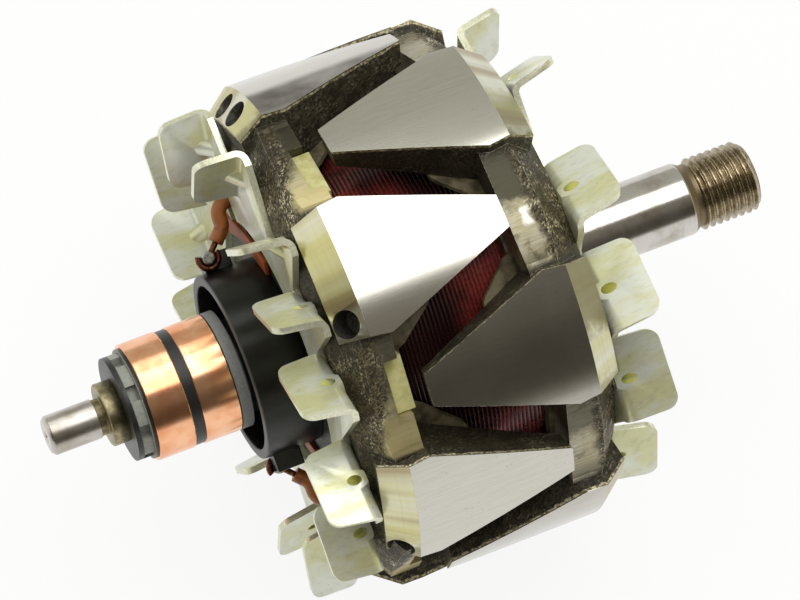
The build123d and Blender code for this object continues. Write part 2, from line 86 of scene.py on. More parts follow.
# Each patch, of tarnishing with painted dark reflection and of staining with painted shade, is its angle,
# half its width and its strength.
# A burnished spot is its angle and the places along the shaft between which it lies.
PoleFinish = namedtuple(
    "PoleFinish", "first_claw land_edge land_width land_widening tarnish stains drilled burnished"
)
POLES = {
    "rear_pole": PoleFinish(
        first_claw=45.0,
        land_edge=15.7,
        land_width=2.2,
        land_widening=3.5,
        # The narrow patch on the first claw is a painted dark reflection; the broad patches are real
        # tarnishing.
        tarnish=((54.5, 3.5, 0.8), (225.0, 16.0, 0.3), (345.0, 16.0, 0.4)),
        # Staining and painted shade: darker on the upper sides of some valleys and on some slopes.
        stains=((65.5, 5.5, 0.9), (126.5, 5.5, 0.8), (182.0, 5.0, 0.9), (247.0, 6.0, 0.6)),
        drilled=(40.6, 49.4, 115.9, 177.5),
        burnished=(),
    ),
    "front_pole": PoleFinish(
        first_claw=15.0,
        land_edge=13.4,
        land_width=4.2,
        land_widening=0.0,
        tarnish=((135.0, 16.0, 0.25), (195.0, 16.0, 0.2), (315.0, 16.0, 0.4)),
        # Staining and painted shade: darker on the upper sides of some valleys and on some chamfers.
        stains=(
            (82.5, 3.0, 0.5), (96.0, 5.0, 0.95), (127.0, 7.0, 0.9), (155.0, 5.0, 0.7), (276.0, 6.0, 0.6),
        ),
        drilled=(),
        burnished=((107.0, 16.2, 18.4),),
    ),
}

# Fans: the angles of the blades and how far each leans from its own angle

FANS = {
    "rear_fan": (
        (26.2, 54.0, 81.0, 100.5, 120.6, 149.5, 171.8, 207.3, 233.0, 260.7, 283.0, 305.0, 327.9, 359.0),
        39.5,
    ),
    "front_fan": ((17.0, 54.0, 91.9, 119.6, 146.6, 192.0, 229.0, 266.0, 303.0, 340.0), 69.0),
}
FAN_PLATE_END = 27.9

# Shaft, in millimetres

REAR_END = -76.3
REAR_JOURNAL_END = -66.0
REAR_SHOULDER = -64.5
CARRIER_END = -61.2
DRIVE_JOURNAL_END = 60.0
UNDERCUT_START = 61.3
THREAD_START = 62.4
DRIVE_END = 74.5
CENTRE_RADIUS = 1.4
CENTRE_DEPTH = 2.4
CENTRE_POINT = 0.05
REAR_JOURNAL_RADIUS = 4.0
RELIEF_RADIUS = 3.7
SHOULDER_RADIUS = 6.4
SEAT_RADIUS = 6.0
CORE_RADIUS = 8.5
DRIVE_JOURNAL_RADIUS = 7.5
UNDERCUT_RADIUS = 6.6
THREAD_RADIUS = 7.4
THREAD_LEAD_LENGTH = 0.9
THREAD_LEAD_DROP = 1.1
THREAD_STEPS = 130

# Winding, in millimetres

COIL_INNER_RADIUS = 29.1
COIL_COVER = 0.5
COIL_SHOULDER_LENGTH = 1.6
COIL_SHOULDER_DROP = 1.4
COIL_SWELL = 0.35
STEPS_PER_WIRE = 8

# Lead tape, in millimetres: radius, angle and distance behind the middle of the pack

TAPE_ROUTE = (
    (29.5, 17.0, 27.5), (27.6, 21.5, 27.5), (25.8, 26.5, 26.9), (24.0, 32.0, 26.3),
    (22.3, 42.0, 26.2), (21.2, 55.0, 26.2), (20.9, 68.0, 26.2),
)
TAPE_HALF_WIDTH = 1.7
TAPE_THICKNESS = 0.8
TAPE_TURNS = {"upper_lead_tape": 0.0, "lower_lead_tape": 180.0}

# Stage, in metres and watts: the last value of a light says whether polished faces mirror it

LIGHTS = (
    ("softbox", (0.175, 0.06, 0.7), (0.36, 0.56), 1.95, True),
    ("ring_card", (0.06, 0.6, 0.7), (0.16, 0.44), 0.44, True),
    ("fill", (-0.1, -0.1, 1.1), (1.4, 1.4), 7.0, False),
)
FLOOR_HALF_SIZE = 4.0
CAMERA_PLACE = Vector((-206.98, -419.97, 866.8)) * MM
CAMERA_RIGHT = Vector((0.916, -0.401, 0.0229))
CAMERA_BACK = Vector((-0.209, -0.4271, 0.8796))
CAMERA_LENS = 225.0
CAMERA_SENSOR = 36.0


# Shader node helpers

def add(tree, kind, inputs=None, **settings):
    """Adds a node, sets its properties and fills its inputs with values or links."""
    made = tree.nodes.new(kind)
    for key, value in settings.items():
        setattr(made, key, value)
    for key, value in (inputs or {}).items():
        if isinstance(value, bpy.types.NodeSocket):
            tree.links.new(value, made.inputs[key])
        else:
            made.inputs[key].default_value = value
    return made


def calc(tree, operation, first, second=0.0, clamp=False):
    """One step of arithmetic on values or sockets."""
    made = add(tree, "ShaderNodeMath", {0: first, 1: second}, operation=operation, use_clamp=clamp)
    return made.outputs[0]


def product(tree, first, *others):
    """Values multiplied together."""
    for other in others:
        first = calc(tree, "MULTIPLY", first, other)
    return first


def highest(tree, first, *others):
    """The highest of some values."""
    for other in others:
        first = calc(tree, "MAXIMUM", first, other)
    return first


def shifted(tree, value, wander, amount):
    """A value moved by some amount of another."""
    return calc(tree, "ADD", value, product(tree, wander, amount))


def apart(tree, first, second):
    """How far a point lies from an axis, from its two distances square to each other."""
    return calc(tree, "SQRT", calc(tree, "ADD", product(tree, first, first), product(tree, second, second)))


def vector(tree, operation, first, second):
    """One step of arithmetic on vectors."""
    return add(tree, "ShaderNodeVectorMath", {0: first, 1: second}, operation=operation).outputs[0]


def dot(tree, first, second):
    """How far one vector reaches along another."""
    return add(tree, "ShaderNodeVectorMath", {0: first, 1: second}, operation="DOT_PRODUCT").outputs["Value"]


def combine(tree, x, y, z):
    """A vector from three values."""
    return add(tree, "ShaderNodeCombineXYZ", {0: x, 1: y, 2: z}).outputs[0]


def blend(tree, factor, first, second, mode="MIX"):
    """Mixes two colours."""
    made = add(tree, "ShaderNodeMix", {0: factor, 6: first, 7: second}, data_type="RGBA", blend_type=mode)
    return made.outputs[2]


def lerp(tree, factor, first, second):
    """Mixes two values."""
    return add(tree, "ShaderNodeMix", {0: factor, 2: first, 3: second}, data_type="FLOAT").outputs[0]


def step(tree, value, low, high, to_low=0.0, to_high=1.0):
    """A smooth change from one value to another as the input goes from low to high."""
    inputs = {0: value, 1: low, 2: high, 3: to_low, 4: to_high}
    return add(tree, "ShaderNodeMapRange", inputs, interpolation_type="SMOOTHSTEP").outputs[0]


def within(tree, value, low, high, soft=0.05):
    """One between two limits and zero outside them."""
    above = step(tree, value, low - soft, low + soft)
    below = step(tree, value, high - soft, high + soft, 1.0, 0.0)
    return product(tree, above, below)


def wrapped(tree, turn, middle, half):
    """How far an angle lies from a middle one, within half a turn or pitch."""
    inputs = {0: calc(tree, "SUBTRACT", turn, middle), 1: half, 2: -half}
    return add(tree, "ShaderNodeMath", inputs, operation="WRAP").outputs[0]


def patches(tree, turn, places, fade):
    """The strongest of some patches, each its angle, half its width and its strength."""
    found = 0.0
    for middle, half, strength in places:
        away = calc(tree, "ABSOLUTE", wrapped(tree, turn, middle, 180.0))
        found = highest(tree, found, step(tree, away, half, half + fade, strength, 0.0))
    return found


def rgb(red, green, blue):
    """A colour given in display values from 0 to 255, as linear light."""
    def linear(value):
        value /= 255.0
        return value / 12.92 if value <= 0.04045 else ((value + 0.055) / 1.055) ** 2.4
    return (linear(red), linear(green), linear(blue), 1.0)


def texture(tree, place, scale, detail=4.0, roughness=0.55):
    """Noise at a place, scaled."""
    inputs = {"Vector": place, "Scale": scale, "Detail": detail, "Roughness": roughness}
    return add(tree, "ShaderNodeTexNoise", inputs).outputs[0]


def bump(tree, height, strength, distance, normal=None):
    """A bump from a height, with its depth in millimetres."""
    inputs = {"Height": height, "Strength": strength, "Distance": distance * MM}
    if normal is not None:
        inputs["Normal"] = normal
    return add(tree, "ShaderNodeBump", inputs).outputs[0]


def new_group(name, inputs=()):
    """A shader node group with inputs, each its name, kind and default."""
    tree = bpy.data.node_groups.new(name, "ShaderNodeTree")
    for socket, kind, default in inputs:
        made = tree.interface.new_socket(socket, in_out="INPUT", socket_type=kind)
        if default is not None:
            made.default_value = default
    return tree


def close_group(tree, outputs):
    """Gives a group its outputs, each of the kind that it passes on."""
    for socket, value in outputs.items():
        tree.interface.new_socket(socket, in_out="OUTPUT", socket_type=value.bl_idname)
    add(tree, "NodeGroupOutput", outputs)
    return tree


def use_group(tree, group, inputs=None):
    """Adds a group node and fills its inputs."""
    return add(tree, "ShaderNodeGroup", inputs, node_tree=group).outputs


def new_material(name):
    """A material with an empty tree, and the group that says where a point lies."""
    material = bpy.data.materials.new(name)
    material.use_nodes = True
    tree = material.node_tree
    tree.nodes.clear()
    return material, tree, use_group(tree, place_group())


def finish_material(tree, colour, rough, normal, metal=0.0, others=None):
    """Closes a material with one principled shader."""
    inputs = {"Base Color": colour, "Metallic": metal, "Roughness": rough, "Normal": normal}
    shader = add(tree, "ShaderNodeBsdfPrincipled", {**inputs, **(others or {})})
    add(tree, "ShaderNodeOutputMaterial", {0: shader.outputs[0]})


def mottled(name, grain, limits, tones, rough, relief, metal=1.0):
    """A material whose colour, shine and height all follow one noise."""
    material, tree, at = new_material(name)
    height = texture(tree, at["Point"], *grain)
    colour = blend(tree, step(tree, height, *limits), *tones)
    finish_material(tree, colour, lerp(tree, height, *rough), bump(tree, height, *relief), metal)
    return material


# Shared node groups

def place_group():
    """Where a point lies: along the shaft, out from it and round it, in millimetres and degrees."""
    if "Rotor place" in bpy.data.node_groups:
        return bpy.data.node_groups["Rotor place"]
    tree = new_group("Rotor place")
    metres = add(tree, "ShaderNodeTexCoord").outputs["Object"]
    point = vector(tree, "MULTIPLY", metres, (1 / MM, 1 / MM, 1 / MM))
    along, y, z = add(tree, "ShaderNodeSeparateXYZ", {0: point}).outputs
    radius = apart(tree, y, z)
    safe = highest(tree, radius, 0.001)
    turn_y = product(tree, calc(tree, "DIVIDE", y, safe), 50.0)
    turn_z = product(tree, calc(tree, "DIVIDE", z, safe), 50.0)
    return close_group(tree, {
        "Point": point,
        "Along": along,
        "Radius": radius,
        "Turn": product(tree, calc(tree, "ARCTAN2", z, y), 180.0 / math.pi),
        "Streak": combine(tree, product(tree, along, 0.06), turn_y, turn_z),
        "Lathe": combine(tree, along, product(tree, turn_y, 0.004), product(tree, turn_z, 0.004)),
    })


def grain_group():
    """Forged skin: its colours, its grain as a height and its shine."""
    if "Forged grain" in bpy.data.node_groups:
        return bpy.data.node_groups["Forged grain"]
    tree = new_group("Forged grain", (
        ("Point", "NodeSocketVector", None),
        ("Dark", "NodeSocketColor", rgb(36, 33, 24)),
        ("Light", "NodeSocketColor", rgb(80, 73, 54)),
        ("Glint", "NodeSocketFloat", 0.2),
    ))
    into = add(tree, "NodeGroupInput").outputs
    point = into["Point"]
    coarse = texture(tree, point, 0.35, 5.0, 0.6)
    cluster = texture(tree, vector(tree, "ADD", point, (31.0, 17.0, 5.0)), 0.2, 3.0, 0.6)
    wobble = texture(tree, point, 3.0, 2.0, 0.5)
    bent = vector(tree, "ADD", point, combine(tree, wobble, wobble, 0.0))
    cells = add(tree, "ShaderNodeTexVoronoi", {"Vector": bent, "Scale": 2.8}).outputs
    tone, glint, lift = add(tree, "ShaderNodeSeparateColor", {0: cells["Color"]}).outputs
    colour = blend(tree, step(tree, tone, 0.25, 0.95), into["Dark"], into["Light"])
    colour = blend(tree, step(tree, coarse, 0.42, 0.68, 0.0, 0.7), colour, into["Dark"])
    shine = product(tree, step(tree, glint, 0.7, 0.9), into["Glint"], step(tree, cluster, 0.44, 0.64))
    colour = blend(tree, shine, colour, rgb(236, 226, 192))
    height = calc(tree, "SUBTRACT", lift, cells["Distance"])
    return close_group(tree, {"Colour": colour, "Height": height, "Shine": shine})


# Materials of the shaft

def ground_steel():
    """Shaft: cylindrically ground steel, browned where nothing rubs on it."""
    material, tree, at = new_material("shaft_steel")
    rings = texture(tree, at["Lathe"], 9.0, 6.0, 0.7)
    stain = texture(tree, at["Point"], 0.16, 5.0, 0.6)
    fleck = texture(tree, at["Point"], 0.8, 5.0, 0.6)
    shoulder = within(tree, at["Along"], REAR_JOURNAL_END - 0.1, CARRIER_END)
    taper = within(tree, at["Along"], DRIVE_JOURNAL_END - 0.05, THREAD_START + 0.6)
    journal = step(tree, at["Along"], REAR_JOURNAL_END - 0.2, REAR_JOURNAL_END, 1.0, 0.0)
    olive = blend(tree, step(tree, fleck, 0.4, 0.66), rgb(138, 128, 98), rgb(176, 166, 132))

    colour = blend(tree, step(tree, stain, 0.42, 0.72), rgb(206, 202, 196), rgb(176, 168, 156))
    colour = blend(tree, step(tree, rings, 0.45, 0.8, 0.0, 0.2), colour, rgb(120, 112, 102))
    colour = blend(tree, step(tree, fleck, 0.68, 0.74, 0.0, 0.5), colour, rgb(92, 78, 60))
    colour = blend(tree, shoulder, colour, olive)
    colour = blend(tree, taper, colour, rgb(134, 119, 95))
    rough = lerp(tree, highest(tree, shoulder, taper), lerp(tree, stain, 0.13, 0.22), 0.4)
    rough = lerp(tree, journal, rough, 0.3)
    finish_material(tree, colour, rough, bump(tree, rings, 0.03, 0.004), 1.0)
    return material


def thread_steel():
    """Threaded end: darker, oily steel."""
    tones = rgb(178, 166, 142), rgb(138, 124, 102)
    return mottled("thread_steel", (0.9, 5.0, 0.6), (0.35, 0.7), tones, (0.2, 0.32), (0.2, 0.03))


# Materials of the poles

def inside_drilling(tree, point, angles):
    """One in the balance holes, which are drilled square to the middle of the chamfers."""
    tilt = math.atan(CHAMFER_SLOPE)
    flat, up = math.cos(tilt), math.sin(tilt)
    middle = up * (POLE_RADIUS - CHAMFER_DROP / 2) - flat * (CHAMFER_START + CHAMFER_LENGTH / 2)
    bored = 0.0
    for angle in angles:
        turn = math.radians(angle)
        aside = dot(tree, point, (0.0, -math.sin(turn), math.cos(turn)))
        across = dot(tree, point, (flat, up * math.cos(turn), up * math.sin(turn)))
        away = apart(tree, aside, calc(tree, "SUBTRACT", across, middle))
        bored = highest(tree, bored, step(tree, away, DRILL_RADIUS + 0.05, DRILL_RADIUS + 0.12, 1.0, 0.0))
    return bored


def claw_masks(tree, at, pole):
    """Where each finish of a pole lies, and how worn it is there."""
    length = calc(tree, "ABSOLUTE", at["Along"])
    ragged = calc(tree, "SUBTRACT", texture(tree, at["Point"], 0.6), 0.5)
    torn = calc(tree, "SUBTRACT", texture(tree, at["Point"], 0.3, 4.0, 0.6), 0.5)

    past = highest(tree, calc(tree, "SUBTRACT", length, CHAMFER_START), 0.0)
    top = shifted(tree, at["Radius"], past, CHAMFER_SLOPE)
    machined = step(tree, shifted(tree, top, ragged, 0.1), POLE_RADIUS - 0.22, POLE_RADIUS - 0.12)
    beyond = step(tree, shifted(tree, length, ragged, 0.25), CHAMFER_START - 0.05, CHAMFER_START + 0.07)
    turned = product(tree, machined, beyond)
    # The bright band just under the ground face: burred metal, bright partly as a painted edge highlight.
    burr_and_painted_highlight = step(tree, shifted(tree, top, ragged, 1.3), POLE_RADIUS - 0.85, POLE_RADIUS - 0.55)

    half_pitch = CLAW_PITCH / 2
    from_claw = calc(tree, "ABSOLUTE", wrapped(tree, at["Turn"], pole.first_claw, half_pitch))
    valley = step(tree, from_claw, CLAW_HALF_ANGLE, CLAW_HALF_ANGLE + 1.8)
    lower = step(tree, wrapped(tree, at["Turn"], pole.first_claw + half_pitch, half_pitch), -4.0, 11.0)
    reach = shifted(tree, shifted(tree, length, torn, 5.0), lower, -pole.land_widening)
    land_end = pole.land_edge + pole.land_width
    land = product(
        tree,
        valley,
        step(tree, reach, land_end, land_end + 2.0, 1.0, 0.0),
        step(tree, length, pole.land_edge - 0.7, pole.land_edge - 0.2),
    )
    return SimpleNamespace(
        torn=torn,
        machined=machined,
        turned=turned,
        ground=calc(tree, "SUBTRACT", machined, turned),
        burr_and_painted_highlight=burr_and_painted_highlight,
        lower=lower,
        reach=reach,
        land=land,
        slope=product(tree, valley, step(tree, reach, land_end - 1.2, land_end + 0.8)),
        varnish=product(
            tree,
            step(tree, length, PACK_HALF_LENGTH - 0.4, PACK_HALF_LENGTH - 0.1),
            step(tree, at["Radius"], 27.5, 30.0, 1.0, 0.0),
        ),
        stain_and_painted_shade=patches(tree, shifted(tree, at["Turn"], torn, 12.0), pole.stains, 5.0),
        bored=inside_drilling(tree, at["Point"], pole.drilled),
    )


def forged_colour(tree, at, masks, side, skin):
    """The dark sides of the claws, the slopes of the valleys with painted shade in places, the burrs, bright
    partly as a painted edge highlight, and the insides of the holes.
    """
    grit = step(tree, texture(tree, at["Point"], 1.7, 3.0, 0.6), 0.4, 0.62)
    colour = blend(tree, masks.slope, side["Colour"], skin["Colour"])
    # Painted shade, with staining, darkens the slopes in places.
    colour = blend(tree, product(tree, masks.stain_and_painted_shade, masks.slope, 0.5), colour, rgb(42, 37, 27))
    colour = blend(tree, masks.varnish, colour, rgb(20, 18, 16))
    # Burred edges: bright, partly a painted edge highlight.
    colour = blend(tree, masks.burr_and_painted_highlight, colour, blend(tree, grit, rgb(112, 101, 68), rgb(222, 214, 182)))
    return blend(tree, masks.bored, colour, blend(tree, grit, rgb(86, 83, 78), rgb(118, 114, 108)))


def sheared_colour(tree, at, masks, pole, wash, stripe):
    """The trimmed lands of the valleys: sheared, washed with yellow and burnished in places, brightened on
    their lower sides with yellow and painted light, and darkened in places with stain and painted shade.
    """
    colour = blend(tree, step(tree, stripe, 0.3, 0.7), rgb(154, 148, 129), rgb(196, 191, 170))
    colour = blend(tree, step(tree, wash, 0.44, 0.64, 0.0, 0.5), colour, rgb(166, 156, 116))
    colour = blend(tree, step(tree, masks.torn, 0.05, 0.16, 0.0, 0.5), colour, rgb(92, 82, 56))
    # Painted light, with a yellow tint: the lower sides of the rear lands are brightened.
    yellow_and_painted_light = product(tree, masks.lower, 0.2 * pole.land_widening)
    colour = blend(tree, yellow_and_painted_light, colour, rgb(206, 191, 132))
    # Painted shade, with staining: the upper sides of some lands are darkened.
    colour = blend(tree, masks.stain_and_painted_shade, colour, rgb(60, 57, 45))
    for middle, low, high in pole.burnished:
        spot = patches(tree, at["Turn"], ((middle, 1.6, 0.9),), 1.0)
        spot = product(tree, spot, within(tree, masks.reach, low, high, 0.7))
        colour = blend(tree, spot, colour, rgb(240, 238, 228))
    return colour


def chamfer_colour(tree, at, masks, brushed):
    """The turned chamfers: pale, with yellow and brown bands along the shaft, and olive where stain and
    painted shade lie.
    """
    tint = texture(tree, vector(tree, "ADD", at["Streak"], (7.0, 3.0, 0.0)), 0.11, 3.0, 0.5)
    shade = texture(tree, vector(tree, "ADD", at["Streak"], (1.0, 23.0, 9.0)), 0.14, 3.0, 0.5)
    colour = blend(tree, step(tree, tint, 0.4, 0.6), rgb(220, 220, 202), rgb(204, 199, 144))
    colour = blend(tree, step(tree, shade, 0.48, 0.66, 0.0, 0.75), colour, rgb(156, 138, 98))
    colour = blend(tree, step(tree, brushed, 0.45, 0.8, 0.0, 0.15), colour, rgb(118, 108, 84))
    # Staining and painted shade turn the chamfers olive in places.
    return blend(tree, product(tree, masks.stain_and_painted_shade, 0.9), colour, rgb(132, 126, 84))


def ground_colour(tree, at, pole, steel, wash, fine):
    """The ground faces of the claws: bright, tarnished in places, dimmed on one claw by a painted dark
    reflection, and a little pitted.
    """
    cloud = texture(tree, at["Point"], 0.09, 4.0, 0.55)
    pits = texture(tree, at["Point"], 1.9, 2.0, 0.5)
    # Tarnishing dims the ground faces, and on the first rear claw a painted dark reflection does.
    tarnish_and_painted_dimming = product(tree, patches(tree, at["Turn"], pole.tarnish, 4.0), step(tree, cloud, 0.3, 0.7, 0.7, 1.2))
    spread = shifted(tree, pits, calc(tree, "SUBTRACT", wash, 0.5), 0.35)
    colour = blend(tree, step(tree, fine, 0.35, 0.7), steel, rgb(197, 194, 183))
    colour = blend(tree, tarnish_and_painted_dimming, colour, rgb(72, 65, 54))
    return blend(tree, step(tree, spread, 0.74, 0.79, 0.0, 0.7), colour, rgb(96, 90, 82))


def claw_steel(name, pole, steel):
    """A pole: ground outside, turned on the chamfers, sheared in the valleys, forged and dark elsewhere."""
    material, tree, at = new_material(name)
    masks = claw_masks(tree, at, pole)
    wash = texture(tree, at["Point"], 0.16, 3.0, 0.5)
    stripe = texture(tree, at["Streak"], 3.0, 5.0, 0.65)
    brushed = texture(tree, at["Lathe"], 2.4, 5.0, 0.7)
    fine = texture(tree, at["Streak"], 2.6, 5.0, 0.6)
    side = use_group(tree, grain_group(), {"Point": at["Point"]})
    bright = {"Dark": rgb(40, 36, 24), "Light": rgb(126, 114, 80), "Glint": 0.9}
    skin = use_group(tree, grain_group(), {"Point": at["Point"], **bright})

    colour = forged_colour(tree, at, masks, side, skin)
    colour = blend(tree, masks.land, colour, sheared_colour(tree, at, masks, pole, wash, stripe))
    colour = blend(tree, masks.turned, colour, chamfer_colour(tree, at, masks, brushed))
    colour = blend(tree, masks.ground, colour, ground_colour(tree, at, pole, steel, wash, fine))

    rough = lerp(tree, masks.slope, 0.55, lerp(tree, skin["Shine"], 0.6, 0.3))
    rough = lerp(tree, masks.varnish, rough, 0.2)
    rough = lerp(tree, highest(tree, masks.land, masks.bored), rough, 0.46)
    rough = lerp(tree, masks.turned, rough, 0.3)
    rough = lerp(tree, masks.ground, rough, lerp(tree, fine, 0.15, 0.19))

    smooth = highest(tree, masks.machined, masks.land, masks.bored)
    metal = lerp(tree, highest(tree, skin["Shine"], masks.burr_and_painted_highlight), 0.25, 0.5)
    metal = lerp(tree, masks.machined, lerp(tree, smooth, metal, 0.8), 1.0)

    height = lerp(tree, masks.slope, product(tree, side["Height"], 0.5), skin["Height"])
    normal = bump(tree, lerp(tree, smooth, height, 0.8), 0.6, 0.16)
    scratch = lerp(tree, masks.turned, product(tree, fine, 0.005), brushed)
    normal = bump(tree, lerp(tree, masks.land, scratch, stripe), 0.2, 0.03, normal)
    finish_material(tree, colour, rough, normal, metal)
    return material


def burr_with_painted_highlight():
    """Broken edges of the poles: grainy, and bright partly as a painted edge highlight."""
    tones = rgb(96, 88, 68), rgb(226, 218, 192)
    return mottled("burr_with_painted_highlight", (1.6, 5.0, 0.65), (0.4, 0.62), tones, (0.28, 0.48), (0.6, 0.2))


# Materials of the fans

def zinc_sheet(name, pale, tinted, shade, metal):
    """Zinc plated sheet, rolled and unevenly passivated."""
    material, tree, at = new_material(name)
    rolled = vector(tree, "MULTIPLY", at["Point"], (0.3, 1.0, 0.25))
    cloud = texture(tree, rolled, 0.22, 4.0, 0.6)
    drawn = texture(tree, rolled, 1.3, 5.0, 0.65)
    colour = blend(tree, step(tree, cloud, 0.4, 0.62), pale, tinted)
    colour = blend(tree, step(tree, drawn, 0.48, 0.76, 0.0, 0.35), colour, shade)
    finish_material(tree, colour, lerp(tree, drawn, 0.24, 0.36), bump(tree, drawn, 0.1, 0.05), metal)
    return material


def sheared_edge():
    """Cut edges of the fan sheet: bright and a little torn."""
    tones = rgb(238, 238, 216), rgb(212, 212, 178)
    return mottled("sheared_edge", (2.0, 4.0, 0.6), (0.35, 0.7), tones, (0.26, 0.36), (0.08, 0.03), 0.7)


# Materials of the slip rings, terminals and winding

def turned_copper(copper):
    """Slip rings: copper turned smooth, with faint rings."""
    material, tree, at = new_material("slip_ring_copper")
    rings = texture(tree, at["Lathe"], 7.0, 6.0, 0.7)
    cloud = texture(tree, at["Point"], 0.2, 4.0, 0.55)
    colour = blend(tree, step(tree, cloud, 0.35, 0.7), copper, rgb(238, 164, 118))
    finish_material(tree, colour, lerp(tree, rings, 0.15, 0.23), bump(tree, rings, 0.03, 0.004), 1.0)
    return material


def bare_copper():
    """Terminal hooks and lead ends: dull bare copper wire."""
    tones = rgb(138, 88, 62), rgb(60, 41, 32)
    return mottled("bare_copper", (1.2, 5.0, 0.6), (0.4, 0.68), tones, (0.28, 0.46), (0.25, 0.06))


def dull_solder():
    """Solder: grey, frosted and a little lumpy."""
    tones = rgb(176, 174, 168), rgb(104, 100, 94)
    return mottled("solder", (0.9, 4.0, 0.5), (0.35, 0.7), tones, (0.25, 0.5), (0.5, 0.3))


def moulding(name, dark, light, rough_low, rough_high, depth, worn=()):
    """A moulded plastic with an uneven skin, worn to other colours in places along the shaft."""
    material, tree, at = new_material(name)
    skin = texture(tree, at["Point"], 1.6, 6.0, 0.6)
    dust = texture(tree, at["Point"], 0.35, 5.0, 0.65)
    colour = blend(tree, step(tree, dust, 0.5, 0.78), dark, light)
    rough = lerp(tree, dust, rough_low, rough_high)
    for low, high, shade in worn:
        here = within(tree, at["Along"], low, high, 0.12)
        colour = blend(tree, product(tree, here, step(tree, skin, 0.2, 0.6, 0.7, 1.0)), colour, shade)
        rough = lerp(tree, here, rough, 0.45)
    finish_material(tree, colour, rough, bump(tree, skin, 0.3, depth))
    return material


def bobbin_nylon(nylon):
    """Bobbin: nylon gone yellow, its tongues under the claws browned with varnish and painted shade."""
    material, tree, at = new_material("bobbin_nylon")
    cloud = texture(tree, at["Point"], 0.3, 5.0, 0.6)
    patchy = step(tree, cloud, 0.35, 0.7)
    clean = step(tree, calc(tree, "ABSOLUTE", at["Along"]), 13.9, 14.5)
    # Painted shade, with varnish: the tongues under the claws are dark brown.
    varnish_and_painted_shade = blend(tree, patchy, rgb(118, 110, 86), rgb(64, 56, 40))
    colour = blend(tree, clean, varnish_and_painted_shade, blend(tree, patchy, nylon, rgb(176, 170, 104)))
    glow = {"Subsurface Weight": 0.15, "Subsurface Scale": MM}
    finish_material(tree, colour, lerp(tree, cloud, 0.26, 0.44), bump(tree, cloud, 0.2, 0.08), others=glow)
    return material


def enamelled_wire(enamel):
    """Winding: red enamel with a painted shadow, dark towards one pole and clear towards the other."""
    material, tree, at = new_material("enamelled_wire")
    cloud = texture(tree, at["Point"], 0.14, 4.0, 0.6)
    wear = texture(tree, at["Point"], 1.1, 5.0, 0.6)
    # Painted shadow: the side it darkens swaps near 101 degrees round the shaft.
    shadow_side_flip = step(tree, at["Turn"], 98.0, 104.0, -1.0, 1.0)
    clear = step(tree, product(tree, at["Along"], shadow_side_flip), -3.0, 5.0)
    colour = blend(tree, step(tree, cloud, 0.36, 0.66), enamel, rgb(70, 27, 26))
    colour = blend(tree, step(tree, wear, 0.62, 0.8, 0.0, 0.45), colour, rgb(190, 104, 92))
    # The painted shadow: dark red to near black outside the clear part.
    colour = blend(tree, clear, blend(tree, cloud, rgb(58, 25, 24), rgb(24, 13, 13)), colour)
    coat = {"Coat Weight": 0.35, "Coat Roughness": 0.15}
    finish_material(tree, colour, lerp(tree, wear, 0.2, 0.36), bump(tree, wear, 0.12, 0.04), 0.35, coat)
    return material


# Mesh helpers

def new_piece(name, mesh, nodes, materials):
    """A piece in the row frame that rides on the rotor and stands for CAD nodes."""
    if not mesh.polygons:
        raise RuntimeError(name + " came out empty")
    piece = bpy.data.objects.new(name, mesh)
    bpy.context.scene.collection.objects.link(piece)
    for material in materials:
        mesh.materials.append(material)
    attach(piece, "root")
    if nodes:
        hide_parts(*nodes)
    return piece


def node_bmesh(node):
    """The solid of a CAD node as a clean mesh: joined along its edges, with flat faces whole."""
    bm = bmesh.new()
    bm.from_mesh(NODES[node].data)
    for name in [layer.name for layer in bm.loops.layers.float_vector]:
        bm.loops.layers.float_vector.remove(bm.loops.layers.float_vector[name])
    bmesh.ops.remove_doubles(bm, verts=bm.verts, dist=0.002 * MM)
    bmesh.ops.dissolve_limit(bm, angle_limit=math.radians(0.4), verts=bm.verts, edges=bm.edges)
    for face in bm.faces:
        face.material_index = 0
    return bm


def bevel_sharp(bm, width, angle, material=-1):
    """Rounds every edge sharper than an angle, as far as its neighbours leave room."""
    sharp = [e for e in bm.edges if len(e.link_faces) == 2 and e.calc_face_angle(0.0) > math.radians(angle)]
    shape = {"offset_type": "OFFSET", "segments": 2, "profile": 0.6, "affect": "EDGES"}
    bmesh.ops.bevel(bm, geom=sharp, offset=width * MM, clamp_overlap=True, material=material, **shape)


def true_normals(mesh):
    """Gives the long facets turned about the shaft their exact normals, so that they mirror evenly."""
    normals = [(0.0, 0.0, 0.0)] * len(mesh.loops)
    for face in mesh.polygons:
        corners = [mesh.vertices[k].co for k in face.vertices]
        out = Vector((0.0, face.center.y, face.center.z)).normalized()
        lift = face.normal.dot(out)
        sideways = face.normal.z * out.y - face.normal.y * out.z
        long = max((corner - corners[0]).length for corner in corners) > 3.0 * MM
        if long and abs(sideways) < 0.06 and abs(lift) > 0.2:
            for k, corner in zip(face.loop_indices, corners):
                away = Vector((0.0, corner.y, corner.z)).normalized()
                normals[k] = (face.normal.x, lift * away.y, lift * away.z)
    mesh.normals_split_custom_set(normals)


def to_mesh(bm, name, smooth_angle=24.0):
    """Turns a bmesh into a mesh, smooth but for its sharp edges."""
    mesh = bpy.data.meshes.new(name)
    bm.to_mesh(mesh)
    bm.free()
    mesh.shade_smooth()
    mesh.set_sharp_from_angle(angle=math.radians(smooth_angle))
    true_normals(mesh)
    return mesh


def dressed(node, materials, width=0.25, smooth_angle=24.0):
    """A CAD node with rounded edges and its own material."""
    bm = node_bmesh(node)
    bevel_sharp(bm, width, 32.0)
    name = node + "_skin"
    return new_piece(name, to_mesh(bm, name, smooth_angle), [node], materials)


